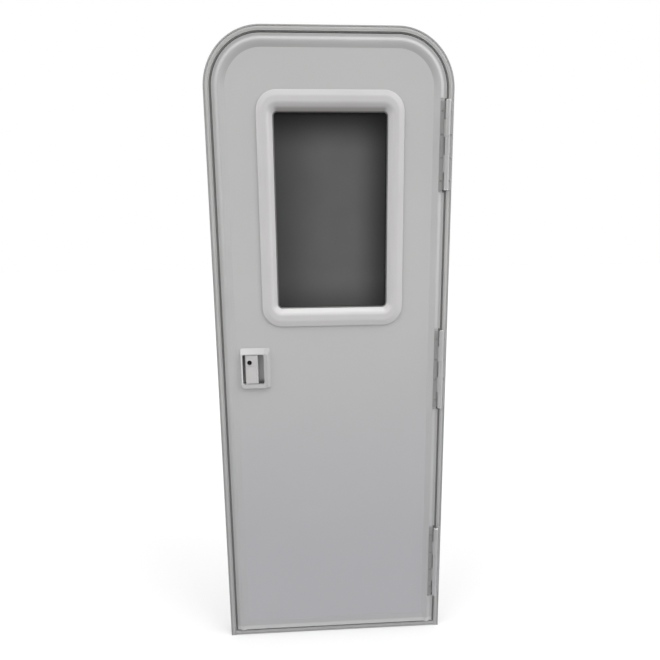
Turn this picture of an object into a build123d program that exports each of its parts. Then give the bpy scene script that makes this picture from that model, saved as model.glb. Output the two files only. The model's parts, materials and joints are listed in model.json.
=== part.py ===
from build123d import *
import os

# Caravan entry door: a hinged leaf with a window and a paddle lock, closed in its flanged frame.
# +X is to the right seen from outside, +Y goes into the caravan and +Z is up.
# The plane y = 0 is the outer face of the caravan wall, where the back of the flange seats.
# The origin is the middle of the bottom edge of the cut-out in that wall.
# All sizes are in millimetres. In a section, u runs inward from the outer edge of the piece.

# Cut-out in the caravan wall
cutout_width = 610.0
cutout_height = 1727.0
fitting_gap = 6.0           # edge of the cut-out to the outside of the jamb wall

# Frame extrusion
sheet = 2.0                 # wall of the extrusion
flange_cover = 34.5         # edge of the flange to the outside of the jamb wall
flange_rise = 7.0           # lips of the flange, in front of the wall
flange_edge = 4.0           # thickness of the outer lip, which is rounded
flange_round = 3.0          # rounding of the outer lip
flange_lip = 2.0            # thickness of the inner lip
track_width = 9.5           # screw track between the lips
stop_width = 14.0
corner_radius = 155.0       # edge of the flange, at the two top corners
screw_hole = 4.5            # diameter of the fixing holes
screws_per_jamb = 6
screws_per_end = 3          # across the head and across the sill
screw_end = 60.0            # end of a straight run to its first fixing hole

# Strip that covers the fixing screws
cover_wall = 1.2
cover_fit = 0.3             # strip to the sides of the track
cover_sink = 0.3            # crown of the strip below the lips
cover_crown = 1.0           # crown of the strip above its own edges

# Leaf
leaf_gap = 7.0              # flange to leaf, all round
lip_gap = 5.0               # back of the leaf's lip to the flange
lip_thick = 3.0
lip_round = 1.5
rim_overhang = 23.0         # edge of the lip to the side of the leaf's body
bead_start = 8.0            # flat margin outside the bead
bead_width = 26.0
bead_crest = 9.0            # outer foot of the bead to its crest
bead_rise = 4.4             # crest of the bead before it is rounded
bead_round = 10.0
bead_foot_round = 8.0       # hollow at the outer foot of the bead
drip_rise = 2.0             # lower edge of the bottom rail, in front of the skin
drip_width = 30.0           # sloping face of the bottom rail, which has no bead
drip_edge = 0.5             # upper edge of that face, in front of the skin
rim_cover = 20.0            # inner flange of the rim over the panel
panel_thick = 36.0
panel_fit = 0.3             # edge of the panel to the rim
outer_skin_thick = 1.5
inner_skin_thick = 2.0

# Bulb seal on the door stop
seal_gap = 5.5              # relaxed seal to the inside of the leaf
seal_height = 9.5
seal_width = 8.0
seal_setback = 2.5          # seal to the jamb wall

# Window
glass_width = 308.0         # sight size
glass_height = 525.0
glass_corner = 12.0
glass_thick = 4.0
glass_drop = 188.5          # top of the leaf to the top of the sight size
glass_rebate = 8.0          # hidden edge of the pane
ring_side = 43.5            # outer ring beside the glass
ring_end = 52.0             # outer ring above and below the glass
ring_corner = 55.0
ring_rise = 9.0
ring_slope = 16.0           # outer part of the ring, which falls outward
ring_fall = 4.5             # fall of that part
ring_crown_round = 20.0
ring_edge_round = 3.0
ring_crest_round = 12.0     # rounding between the face and the bevel round the glass
bevel_side = 14.0
bevel_end = 18.0
bevel_corner = 26.0
pane_setback = 6.0          # front of the pane behind the face of the skin
pane_fit = 1.0
hole_margin = 14.0          # sight size to the edge of the hole in the panel
hole_fit = 0.5
gasket_thick = 3.0
gasket_lap = 7.0
inner_ring_width = 34.0
inner_ring_rise = 6.0
inner_ring_round = 4.0

# Lock, outside
lock_drop = 122.5           # middle of the recess below the window's outer ring
lock_offset = 10.5          # bead to the lock plate
plate_rise = 9.0
plate_corner = 7.0
plate_border_left = 6.5
plate_border_right = 18.0
plate_border_top = 18.0
plate_border_bottom = 15.0
plate_slope_left = 2.5
plate_slope_right = 8.0
plate_slope_top = 16.0
plate_slope_bottom = 3.0
plate_round = 1.2
recess_depth = 19.0
recess_corner = 5.0
recess_wall = 2.0
back_slot = 9.0             # gap on the pivot side of the paddle
finger_gap = 17.0           # gap on the finger side of the paddle
paddle_width = 35.0
paddle_height = 77.0
paddle_gap = 5.0            # ends of the paddle to the recess
paddle_thick = 5.0
paddle_sink = 2.0           # front of the paddle below the plate
paddle_grip = 3.0           # rib behind the finger edge
paddle_bevel = 1.0
paddle_nose = 4.5           # rounding of the finger edge
pivot_radius = 1.6
pivot_wall = 1.8
pivot_inset = 2.0           # pivot to the edge of the paddle
pivot_seat = 4.0            # pin let into the plate at each end
key_radius = 6.5
key_boss_wall = 2.5
key_boss = 4.0              # boss behind the paddle
key_proud = 1.0
key_inset = 11.2            # key to the pivot edge of the paddle
key_drop = 18.0             # key to the top of the paddle
key_slot_width = 2.2
key_slot_depth = 3.0
key_clip = 1.5              # retaining clip behind the boss
key_groove = 1.0            # width and depth of the groove below the key
key_groove_drop = 10.5      # groove to the middle of the key
running_fit = 0.05

# Lock, inside the leaf and on its edge
case_margin = 3.0           # case beyond the recess, at its ends
case_clearance = 0.5
case_setback = 6.0          # case behind the edge plate
edge_plate_width = 16.0
edge_plate_margin = 14.0    # edge plate beyond the case, at its ends
bolt_thick = 9.0
latch_height = 16.0
dead_bolt_height = 22.0
bolt_length = 34.0
bolt_spread = 22.0          # bolt to the middle of the case
bolt_fit = 0.3
strike_thick = 1.5
strike_width = 22.0
strike_height = 90.0
strike_clearance = 2.0      # bolt to the edge of the strike's slot

# Lock, inside the caravan
inside_offset = 1.5         # rim to the inside plate
inside_plate_width = 84.0
inside_plate_height = 126.0
inside_plate_rise = 7.0
inside_plate_corner = 10.0
inside_plate_round = 3.0
lever_hub_radius = 13.0
lever_neck_radius = 8.0
lever_stand = 22.0
lever_length = 78.0
lever_width = 17.0
lever_thick = 8.0
lever_round = 3.0
lever_drop = 26.0           # hub below the middle of the inside plate
turn_radius = 13.0
turn_base = 4.0
turn_rise = 11.0
turn_thick = 6.0
turn_round = 1.5
turn_lift = 32.0            # thumb turn above the middle of the inside plate
end_share = 0.45            # corner of the lever and the thumb turn, as a share of their width

# Hinges
hinge_names = ["lower", "middle", "upper"]
hinge_length = 230.0
hinge_first = 121.0         # bottom of the flange to the lower hinge
hinge_last = 30.0           # upper hinge to the start of the corner
knuckle_radius = 6.5
knuckle_count = 5
knuckle_gap = 0.5
knuckle_clear = 2.0         # plate on the leaf to the knuckles on the frame
hinge_plate = 2.0
hinge_plate_width = 16.5
notch_width = 17.0          # edge of the leaf to the end of the notch in its bead
notch_end = 7.0             # notch beyond the ends of the hinge
pin_radius = 3.0
pin_cap = 2.0
pin_cap_bevel = 1.0

touch = 0.01                # how near an edge lies to a plane to count as in it

# Places that follow from the sizes
jamb_half = cutout_width / 2 - fitting_gap
jamb_bottom = fitting_gap
jamb_top = cutout_height - fitting_gap
frame_half = jamb_half + flange_cover
frame_bottom = jamb_bottom - flange_cover
frame_top = jamb_top + flange_cover
corner_start = frame_top - corner_radius
track_end = flange_edge + track_width
flange_inner = track_end + flange_lip
sill_half = jamb_half - sheet
sill_reach = frame_half - flange_inner

leaf_inset = flange_inner + leaf_gap
leaf_half = frame_half - leaf_inset
leaf_bottom = frame_bottom + leaf_inset
leaf_top = frame_top - leaf_inset
leaf_radius = corner_radius - leaf_inset
lip_back = -sheet - lip_gap
leaf_front = lip_back - lip_thick
panel_back = leaf_front + panel_thick
core_front = leaf_front + outer_skin_thick
core_back = panel_back - inner_skin_thick
leaf_back = panel_back + sheet
panel_inset = rim_overhang + sheet + panel_fit

jamb_depth = leaf_back + seal_gap + seal_height + sheet
stop_front = jamb_depth - sheet

glass_middle = leaf_top - glass_drop - glass_height / 2
pane_front = leaf_front + pane_setback
pane_back = pane_front + glass_thick
gasket_back = pane_back + gasket_thick
ring_front = leaf_front - ring_rise

lock_height = glass_middle - glass_height / 2 - ring_end - lock_drop
plate_front = leaf_front - plate_rise
recess_floor = plate_front + recess_depth
recess_back = recess_floor + recess_wall
plate_left = -leaf_half + bead_start + bead_width + lock_offset
recess_left = plate_left + plate_border_left
recess_right = recess_left + back_slot + paddle_width + finger_gap
plate_right = recess_right + plate_border_right
recess_half = paddle_height / 2 + paddle_gap
recess_top = lock_height + recess_half
recess_bottom = lock_height - recess_half

paddle_left = recess_left + back_slot
paddle_right = paddle_left + paddle_width
paddle_front = plate_front + paddle_sink
paddle_back = paddle_front + paddle_thick
paddle_top = lock_height + paddle_height / 2
paddle_bottom = lock_height - paddle_height / 2
pivot_x = paddle_left + pivot_inset
pivot_y = paddle_front + pivot_radius + pivot_wall
key_x = paddle_left + key_inset
key_z = paddle_top - key_drop
key_back = paddle_back + key_boss

wall_inside = -leaf_half + rim_overhang + sheet
case_left = wall_inside + case_setback
case_right = recess_right + recess_wall
case_half = recess_half + case_margin
case_back = core_back - case_clearance
bolt_y = (recess_back + case_back) / 2
edge_plate_half = case_half + edge_plate_margin
inside_left = wall_inside + rim_cover + inside_offset
inside_x = inside_left + inside_plate_width / 2
latch_z = lock_height - bolt_spread
dead_bolt_z = lock_height + bolt_spread

hinge_x = frame_half - flange_inner - leaf_gap / 2
hinge_y = -flange_rise - hinge_plate - knuckle_gap - knuckle_radius
hinge_low = frame_bottom + hinge_first
hinge_high = corner_start - hinge_last - hinge_length
hinge_pitch = (hinge_high - hinge_low) / (len(hinge_names) - 1)
hinge_starts = [hinge_low + hinge_pitch * i for i in range(len(hinge_names))]
strip_start = leaf_half - notch_width + panel_fit
strip_edge = hinge_x - knuckle_radius - knuckle_clear


# Helpers

def front_plane(y):
    """Plane facing outward at depth y, with local x along +X and local y along +Z."""
    return Plane(origin=(0, y, 0), x_dir=(1, 0, 0), z_dir=(0, -1, 0))


def prism(sketch, front, back):
    """Solid between two depths from a sketch drawn in X and Z."""
    return extrude(front_plane(back) * sketch, amount=back - front)


def block(x0, x1, y0, y1, z0, z1):
    size = (x1 - x0, y1 - y0, z1 - z0)
    middle = ((x0 + x1) / 2, (y0 + y1) / 2, (z0 + z1) / 2)
    return Pos(*middle) * Box(*size)


def rounded(x0, x1, z0, z1, radius):
    """Rectangle with four equal corners, between its sides."""
    return Pos((x0 + x1) / 2, (z0 + z1) / 2) * RectangleRounded(x1 - x0, z1 - z0, radius)


def glass_shape(side, end, radius):
    """Rounded rectangle that is larger than the sight size of the glass by side and end."""
    half = glass_width / 2 + side
    tall = glass_height / 2 + end
    return rounded(-half, half, glass_middle - tall, glass_middle + tall, radius)


def across(x, z, radius, front, back):
    """Cylinder along Y between two depths."""
    return prism(Pos(x, z) * Circle(radius), front, back)


def round_corner(sketch, u, y, radius):
    """Round the one corner of a section that lies at (u, y)."""
    corner = sketch.vertices().sort_by_distance((u, y, 0))[0]
    return fillet(corner, radius)


def edges_at(solid, depth):
    """Edges that lie in the plane of the given depth."""
    return solid.edges().filter_by_position(Axis.Y, depth - touch, depth + touch)


def up_from(u_zero, z):
    """Plane of a section that runs upward on the left side, with u towards +X."""
    return Plane(origin=(u_zero, 0, z), x_dir=(1, 0, 0), z_dir=(0, 0, 1))


def upright(section, half, low, high):
    """Section run straight up the left side."""
    return extrude(up_from(-half, low) * section, amount=high - low)


def arched(section, half, top, radius):
    """Section run round both top corners, from the left side to the right side."""
    low = top - radius
    left = JernArc(start=(-half, low), tangent=(0, 1), radius=radius, arc_size=-90)
    straight = Line((-half + radius, top), (half - radius, top))
    right = JernArc(start=(half - radius, top), tangent=(1, 0), radius=radius, arc_size=-90)
    path = Plane.XZ * (left + straight + right)
    return sweep(up_from(-half, low) * section, path=path)


def along_bottom(section, bottom, half):
    """Section run along the bottom, with u upward, between two equal ends."""
    plane = Plane(origin=(half, 0, bottom), x_dir=(0, 0, 1), z_dir=(-1, 0, 0))
    return extrude(plane * section, amount=2 * half)


def other_side(solid):
    return mirror(solid, about=Plane.YZ)


# Frame

def frame_section():
    """Flange with a screw track, jamb wall and door stop."""
    wall_end = flange_cover + sheet
    stop_end = wall_end + stop_width
    section = make_face(Polyline(
        (0, 0), (0, -flange_rise), (flange_edge, -flange_rise), (flange_edge, -sheet),
        (track_end, -sheet), (track_end, -flange_rise), (flange_inner, -flange_rise),
        (flange_inner, -sheet), (wall_end, -sheet), (wall_end, stop_front), (stop_end, stop_front),
        (stop_end, jamb_depth), (flange_cover, jamb_depth), (flange_cover, 0), close=True))
    return round_corner(section, 0, -flange_rise, flange_round)


def cover_section():
    """Crowned strip whose two feet stand in the screw track."""
    left = flange_edge + cover_fit
    right = track_end - cover_fit
    middle = (left + right) / 2
    crown = cover_sink - flange_rise
    side = crown + cover_crown
    top = ThreePointArc((left, side), (middle, crown), (right, side))
    under = ThreePointArc((right - cover_wall, side + cover_wall), (middle, crown + cover_wall),
                          (left + cover_wall, side + cover_wall))
    right_foot = Polyline((right, side), (right, -sheet), (right - cover_wall, -sheet),
                          (right - cover_wall, side + cover_wall))
    left_foot = Polyline((left + cover_wall, side + cover_wall), (left + cover_wall, -sheet),
                         (left, -sheet), (left, side))
    return make_face(top + right_foot + under + left_foot)


def screw_places(low, high, count):
    """Evenly spaced places between the two ends of a straight run."""
    first = low + screw_end
    step = (high - low - 2 * screw_end) / (count - 1)
    return [first + step * i for i in range(count)]


def screw_row(places):
    """Fixing holes through the flange at the given points in X and Z."""
    return [across(x, z, screw_hole / 2, -sheet, 0) for x, z in places]


def frame_pieces():
    section = frame_section()
    screw_inset = flange_edge + track_width / 2
    jamb_screws = screw_places(frame_bottom, corner_start, screws_per_jamb)
    left = upright(section, frame_half, frame_bottom, corner_start)
    left -= block(-frame_half, 0, 0, jamb_depth, frame_bottom, jamb_bottom)
    left -= screw_row([(screw_inset - frame_half, z) for z in jamb_screws])
    left -= strike_slots()
    right = upright(section, frame_half, frame_bottom, corner_start)
    right -= block(-frame_half, 0, 0, jamb_depth, frame_bottom, jamb_bottom)
    right -= screw_row([(screw_inset - frame_half, z) for z in jamb_screws])
    right = other_side(right)

    head = arched(section, frame_half, frame_top, corner_radius)
    head_end = frame_half - corner_radius
    head -= screw_row([(x, frame_top - screw_inset)
                       for x in screw_places(-head_end, head_end, screws_per_end)])

    sill = along_bottom(section, frame_bottom, sill_reach)
    sill -= screw_row([(x, frame_bottom + screw_inset)
                       for x in screw_places(-sill_half, sill_half, screws_per_end)])
    stop_cut = flange_cover + sheet + stop_width
    for half, front in ((sill_half, -sheet), (frame_half - stop_cut, stop_front)):
        end = block(half, frame_half, front, jamb_depth, frame_bottom, frame_bottom + stop_cut)
        sill -= [end, other_side(end)]
    return {"left_jamb": left, "right_jamb": right, "head_jamb": head, "sill": sill}


def cover_pieces():
    section = cover_section()
    left = upright(section, frame_half, frame_bottom, corner_start)
    return {
        "left_screw_cover": left,
        "right_screw_cover": other_side(left),
        "head_screw_cover": arched(section, frame_half, frame_top, corner_radius),
        "sill_screw_cover": along_bottom(section, frame_bottom, sill_reach),
    }


def seal_pieces():
    """Bulb seal on the outward face of the stop, down both sides and over the head."""
    low = flange_cover + sheet + seal_setback
    high = low + seal_width
    shoulder = stop_front - seal_height + seal_width / 2
    bulb = ThreePointArc((low, shoulder), ((low + high) / 2, stop_front - seal_height), (high, shoulder))
    base = Polyline((high, shoulder), (high, stop_front), (low, stop_front), (low, shoulder))
    section = make_face(bulb + base)
    foot = frame_bottom + flange_cover + sheet
    side = upright(section, frame_half, foot, corner_start)
    head = arched(section, frame_half, frame_top, corner_radius)
    return {"stop_seal": side + head + other_side(side)}


# Leaf

def rim_channel(face):
    """Section of the rim behind the given face, with the wall and flanges that hold the edge of the panel."""
    wall_in = rim_overhang + sheet
    cover_end = wall_in + rim_cover
    return make_face(Polyline(
        (0, lip_back), *face, (wall_in, leaf_front), (wall_in, panel_back), (cover_end, panel_back),
        (cover_end, leaf_back), (rim_overhang, leaf_back), (rim_overhang, lip_back), close=True))


def bead_section():
    """Rim of the sides and the head: a flat lip, then a bead that is steep outside and long inside."""
    crest = bead_start + bead_crest
    section = rim_channel([(0, leaf_front), (bead_start, leaf_front), (crest, leaf_front - bead_rise),
                           (bead_start + bead_width, leaf_front)])
    section = round_corner(section, bead_start, leaf_front, bead_foot_round)
    section = round_corner(section, crest, leaf_front - bead_rise, bead_round)
    return round_corner(section, 0, leaf_front, lip_round)


def drip_section():
    """Rim of the bottom: a face that leans out to a drip edge."""
    section = rim_channel([(0, leaf_front - drip_rise), (drip_width, leaf_front - drip_edge),
                           (drip_width, leaf_front)])
    return round_corner(section, 0, leaf_front - drip_rise, lip_round)


def hinge_notches():
    """Room for the hinges: the outer half of the bead, and the edge of the lip beside the knuckles."""
    cuts = []
    for low in hinge_starts:
        ends = (low - notch_end, low + hinge_length + notch_end)
        cuts.append(block(leaf_half - notch_width, leaf_half, leaf_front - bead_rise, leaf_front, *ends))
        cuts.append(block(strip_edge, leaf_half, leaf_front, lip_back, *ends))
    return cuts


def rim_pieces():
    section = bead_section()
    side = upright(section, leaf_half, leaf_bottom, leaf_top - leaf_radius)
    side -= block(-leaf_half, 0, lip_back, leaf_back, leaf_bottom, leaf_bottom + rim_overhang)
    opposite = other_side(side)
    bottom = along_bottom(drip_section(), leaf_bottom, -wall_inside)
    return {
        "leaf_left_rail": side - edge_plate(case_clearance),
        "leaf_right_rail": opposite - hinge_notches(),
        "leaf_head_rail": arched(section, leaf_half, leaf_top, leaf_radius),
        "leaf_bottom_rail": bottom - side - opposite,
    }


def panel_layer(front, back):
    """One layer of the panel, with the top corners round and the window cut out."""
    half = leaf_half - panel_inset
    low = leaf_bottom + panel_inset
    high = leaf_top - panel_inset
    outline = Pos(0, (low + high) / 2) * Rectangle(2 * half, high - low)
    outline = fillet(outline.vertices().group_by(Axis.Y)[-1], leaf_radius - panel_inset)
    outline -= glass_shape(hole_margin, hole_margin, glass_corner + hole_margin)
    return prism(outline, front, back)


def panel_pieces():
    """Outer and inner skin, and a foam core cut into slabs that leave a pocket for the lock."""
    cup_hole = block(recess_left - recess_wall - case_clearance, recess_right + recess_wall + case_clearance,
                     leaf_front, core_front, recess_bottom - recess_wall - case_clearance,
                     recess_top + recess_wall + case_clearance)
    inner_skin = panel_layer(core_back, panel_back)
    inner_skin -= across(inside_x, lock_height - lever_drop, lever_neck_radius, core_back, panel_back)
    inner_skin -= across(inside_x, lock_height + turn_lift, lever_neck_radius, core_back, panel_back)

    half = leaf_half - panel_inset
    pocket_half = edge_plate_half + case_clearance
    pocket_low = lock_height - pocket_half
    pocket_high = lock_height + pocket_half
    pocket_right = case_right + case_clearance
    below = block(-half, half, core_front, core_back, leaf_bottom, pocket_high)
    return {
        "outer_skin": panel_layer(leaf_front, core_front) - cup_hole,
        "lower_foam": block(-half, half, core_front, core_back, leaf_bottom + panel_inset, pocket_low),
        "lock_level_foam": block(pocket_right, half, core_front, core_back, pocket_low, pocket_high),
        "upper_foam": panel_layer(core_front, core_back) - below,
        "inner_skin": inner_skin,
    }


# Window

def window_pieces():
    collar = hole_margin - hole_fit
    pane = glass_rebate
    pane_corner = glass_corner + pane
    hole_corner = glass_corner + collar

    outline = glass_shape(ring_side, ring_end, ring_corner)
    crown = glass_shape(ring_side - ring_slope, ring_end - ring_slope, ring_corner - ring_slope)
    ring_shoulder = ring_front + ring_fall
    ring = prism(outline, ring_shoulder, leaf_front)
    ring += loft([front_plane(ring_shoulder) * outline, front_plane(ring_front) * crown], ruled=True)
    ring = fillet(edges_at(ring, ring_front), ring_crown_round)
    ring = fillet(edges_at(ring, ring_shoulder), ring_edge_round)
    ring += prism(glass_shape(collar, collar, hole_corner), leaf_front, pane_back)
    mouth = front_plane(ring_front) * glass_shape(bevel_side, bevel_end, bevel_corner)
    throat = front_plane(pane_front) * glass_shape(0, 0, glass_corner)
    ring -= loft([mouth, throat], ruled=True)
    seat = pane + pane_fit
    ring -= prism(glass_shape(seat, seat, glass_corner + seat), pane_front, pane_back)
    mouth_half = glass_width / 2 + bevel_side + touch
    mouth_tall = glass_height / 2 + bevel_end + touch
    crest = [edge for edge in edges_at(ring, ring_front) if abs(edge.center().X) < mouth_half
             and abs(edge.center().Z - glass_middle) < mouth_tall]
    ring = fillet(crest, ring_crest_round)

    glass = prism(glass_shape(pane, pane, pane_corner), pane_front, pane_back)
    lap = glass_rebate - gasket_lap
    gasket = glass_shape(pane, pane, pane_corner) - glass_shape(lap, lap, glass_corner + lap)

    inner = prism(glass_shape(inner_ring_width, inner_ring_width, glass_corner + inner_ring_width),
                  panel_back, panel_back + inner_ring_rise)
    inner = fillet(edges_at(inner, panel_back + inner_ring_rise), inner_ring_round)
    inner += prism(glass_shape(collar, collar, hole_corner), gasket_back, panel_back)
    inner -= prism(glass_shape(0, 0, glass_corner), gasket_back, panel_back + inner_ring_rise)
    return {
        "window_outer_ring": ring,
        "window_glass": glass,
        "window_gasket": prism(gasket, pane_back, gasket_back),
        "window_inner_ring": inner,
    }


# Lock

def lock_bezel():
    """Sloping plate with a deep recess that holds the paddle."""
    z0 = recess_bottom - plate_border_bottom
    z1 = recess_top + plate_border_top
    base = front_plane(leaf_front) * rounded(plate_left, plate_right, z0, z1, plate_corner)
    face = front_plane(plate_front) * rounded(plate_left + plate_slope_left, plate_right - plate_slope_right,
                                              z0 + plate_slope_bottom, z1 - plate_slope_top, plate_corner)
    bezel = loft([base, face], ruled=True)
    bezel = fillet(edges_at(bezel, plate_front), plate_round)
    bezel += prism(rounded(recess_left - recess_wall, recess_right + recess_wall, recess_bottom - recess_wall,
                           recess_top + recess_wall, recess_corner + recess_wall), leaf_front, recess_back)
    bezel -= prism(rounded(recess_left, recess_right, recess_bottom, recess_top, recess_corner),
                   plate_front, recess_floor)
    return bezel - pivot(pivot_radius + running_fit)


def pivot(radius):
    """Upright rod on the paddle's axis, let into the plate at both ends."""
    length = recess_top - recess_bottom + 2 * pivot_seat
    return Pos(pivot_x, pivot_y, lock_height) * Cylinder(radius, length)


def paddle():
    """Pull with a pivot barrel on one edge, a finger rib on the other and a boss for the key."""
    barrel_radius = pivot_radius + pivot_wall
    plate = make_face(Polyline(
        (pivot_x, paddle_front), (paddle_right, paddle_front), (paddle_right, paddle_back + paddle_grip),
        (paddle_right - paddle_thick, paddle_back + paddle_grip),
        (paddle_right - 2 * paddle_thick, paddle_back), (pivot_x, paddle_back), close=True))
    plate = round_corner(plate, paddle_right, paddle_front, paddle_nose)
    section = plate + Pos(pivot_x, pivot_y) * Circle(barrel_radius)
    body = extrude(Pos(0, 0, paddle_bottom) * section, amount=paddle_height)
    body = chamfer(body.edges().group_by(Axis.Z)[-1] + body.edges().group_by(Axis.Z)[0], paddle_bevel)
    body += across(key_x, key_z, key_radius + key_boss_wall, paddle_front + paddle_bevel, key_back)
    body -= across(key_x, key_z, key_radius + running_fit, paddle_front, key_back)
    groove_top = key_z - key_groove_drop
    body -= block(paddle_left - barrel_radius, paddle_right, paddle_front, paddle_front + key_groove,
                  groove_top - key_groove, groove_top)
    return body - pivot(pivot_radius + running_fit)


def key_plug():
    """Plug of the key cylinder with its key slot, held by a clip behind the boss."""
    plug = across(key_x, key_z, key_radius, paddle_front - key_proud, key_back)
    plug = chamfer(edges_at(plug, paddle_front - key_proud), key_proud / 2)
    plug += across(key_x, key_z, key_radius + key_boss_wall / 2, key_back, key_back + key_clip)
    slot_half = key_radius - 2 * key_proud
    return plug - block(key_x - key_slot_width / 2, key_x + key_slot_width / 2, paddle_front - key_proud,
                        paddle_front - key_proud + key_slot_depth, key_z - slot_half, key_z + slot_half)


def edge_plate(clearance):
    """Plate let into the side wall of the leaf, in front of the bolts."""
    half = edge_plate_width / 2 + clearance
    tall = edge_plate_half + clearance
    return block(-leaf_half + rim_overhang, wall_inside, bolt_y - half, bolt_y + half,
                 lock_height - tall, lock_height + tall)


def bolt(middle, height, clearance):
    """Square bolt drawn back until it is flush with the edge plate."""
    start = -leaf_half + rim_overhang
    half = bolt_thick / 2 + clearance
    tall = height / 2 + clearance
    return block(start, start + bolt_length, bolt_y - half, bolt_y + half, middle - tall, middle + tall)


def strike_slots():
    """Slots in the strike and the jamb wall that receive the two bolts."""
    slots = []
    for middle, height in ((latch_z, latch_height), (dead_bolt_z, dead_bolt_height)):
        half = bolt_thick / 2 + strike_clearance
        tall = height / 2 + strike_clearance
        slots.append(block(-jamb_half, -jamb_half + sheet + strike_thick, bolt_y - half, bolt_y + half,
                           middle - tall, middle + tall))
    return slots


def lock_pieces():
    case = block(case_left, case_right, recess_back, case_back,
                 lock_height - case_half, lock_height + case_half)
    bolt_holes = [bolt(latch_z, latch_height, bolt_fit), bolt(dead_bolt_z, dead_bolt_height, bolt_fit)]

    wall_face = -jamb_half + sheet
    strike = block(wall_face, wall_face + strike_thick, bolt_y - strike_width / 2, bolt_y + strike_width / 2,
                   lock_height - strike_height / 2, lock_height + strike_height / 2)
    return {
        "lock_bezel": lock_bezel(),
        "lock_paddle": paddle(),
        "paddle_pin": pivot(pivot_radius),
        "key_plug": key_plug(),
        "lock_case": case - bolt_holes,
        "edge_plate": edge_plate(0) - bolt_holes,
        "latch_bolt": bolt(latch_z, latch_height, 0),
        "dead_bolt": bolt(dead_bolt_z, dead_bolt_height, 0),
        "strike_plate": strike - strike_slots(),
    }


def inside_pieces():
    """Plain plate, lever and thumb turn on the inside of the leaf."""
    back = panel_back + inside_plate_rise
    tall = inside_plate_height / 2
    plate = prism(rounded(inside_left, inside_left + inside_plate_width, lock_height - tall,
                          lock_height + tall, inside_plate_corner), panel_back, back)
    plate = fillet(edges_at(plate, back), inside_plate_round)

    lever_z = lock_height - lever_drop
    grip = back + lever_stand
    lever = across(inside_x, lever_z, lever_neck_radius, back, grip)
    arm = prism(rounded(inside_x - lever_hub_radius, inside_x + lever_length,
                        lever_z - lever_width / 2, lever_z + lever_width / 2, end_share * lever_width),
                grip - lever_thick, grip)
    arm = fillet(edges_at(arm, grip), lever_round)
    lever += arm
    lever += across(inside_x, lever_z, lever_hub_radius, back, back + lever_thick / 2)

    turn_z = lock_height + turn_lift
    turn = across(inside_x, turn_z, turn_radius, back, back + turn_base)
    wing = prism(rounded(inside_x - turn_thick / 2, inside_x + turn_thick / 2,
                         turn_z - turn_radius, turn_z + turn_radius, end_share * turn_thick),
                 back + turn_base, back + turn_base + turn_rise)
    turn += fillet(edges_at(wing, back + turn_base + turn_rise), turn_round)
    return {"inside_lock_plate": plate, "inside_lever": lever, "inside_thumb_turn": turn}


# Hinges

def knuckle(low, high):
    return Pos(hinge_x, hinge_y, (low + high) / 2) * Cylinder(knuckle_radius, high - low)


def hinge_pin(low, high, radius, cap):
    """Turned pin with a cap on each end."""
    pin = Pos(hinge_x, hinge_y, (low + high) / 2) * Cylinder(radius, high - low)
    if cap:
        for start, outer in ((low - cap, 0), (high, -1)):
            disc = Pos(hinge_x, hinge_y, start + cap / 2) * Cylinder(knuckle_radius, cap)
            ends = disc.edges().filter_by(GeomType.CIRCLE).sort_by(Axis.Z)
            pin += chamfer(ends[outer], pin_cap_bevel)
    return pin


def hinge_pieces(name, low):
    """Two leaves with alternating knuckles, and the pin that joins them."""
    high = low + hinge_length
    step = hinge_length / knuckle_count
    bore = hinge_pin(low, high, pin_radius + running_fit, 0)

    frame_leaf = block(hinge_x, hinge_x + hinge_plate_width, -flange_rise - hinge_plate, -flange_rise,
                       low, high)
    door_leaf = block(strip_start, strip_edge, leaf_front - hinge_plate, leaf_front, low, high)
    roll = hinge_x + knuckle_radius
    tab = make_face(Polyline((strip_edge, leaf_front), (strip_edge, leaf_front - hinge_plate),
                             (hinge_x, hinge_y), (hinge_x, leaf_front), close=True))
    for i in range(knuckle_count):
        start = low + i * step
        end = start + step - knuckle_gap
        if i % 2 == 0:
            frame_leaf += knuckle(start, end)
            frame_leaf += block(roll - hinge_plate, roll, hinge_y, -flange_rise, start, end)
        else:
            door_leaf += knuckle(start, end)
            door_leaf += extrude(Pos(0, 0, start) * tab, amount=end - start)
    return {
        name + "_hinge_frame_leaf": frame_leaf - bore,
        name + "_hinge_door_leaf": door_leaf - bore,
        name + "_hinge_pin": hinge_pin(low, high, pin_radius, pin_cap),
    }


def all_pieces():
    pieces = {}
    pieces.update(frame_pieces())
    pieces.update(cover_pieces())
    pieces.update(seal_pieces())
    pieces.update(rim_pieces())
    pieces.update(panel_pieces())
    pieces.update(window_pieces())
    pieces.update(lock_pieces())
    pieces.update(inside_pieces())
    for name, low in zip(hinge_names, hinge_starts):
        pieces.update(hinge_pieces(name, low))
    return pieces


os.makedirs("parts", exist_ok=True)
for node, solid in all_pieces().items():
    export_step(solid, "parts/" + node + ".step")
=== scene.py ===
import bmesh
import bpy
import json
import math
from mathutils import Matrix, Vector

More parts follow.
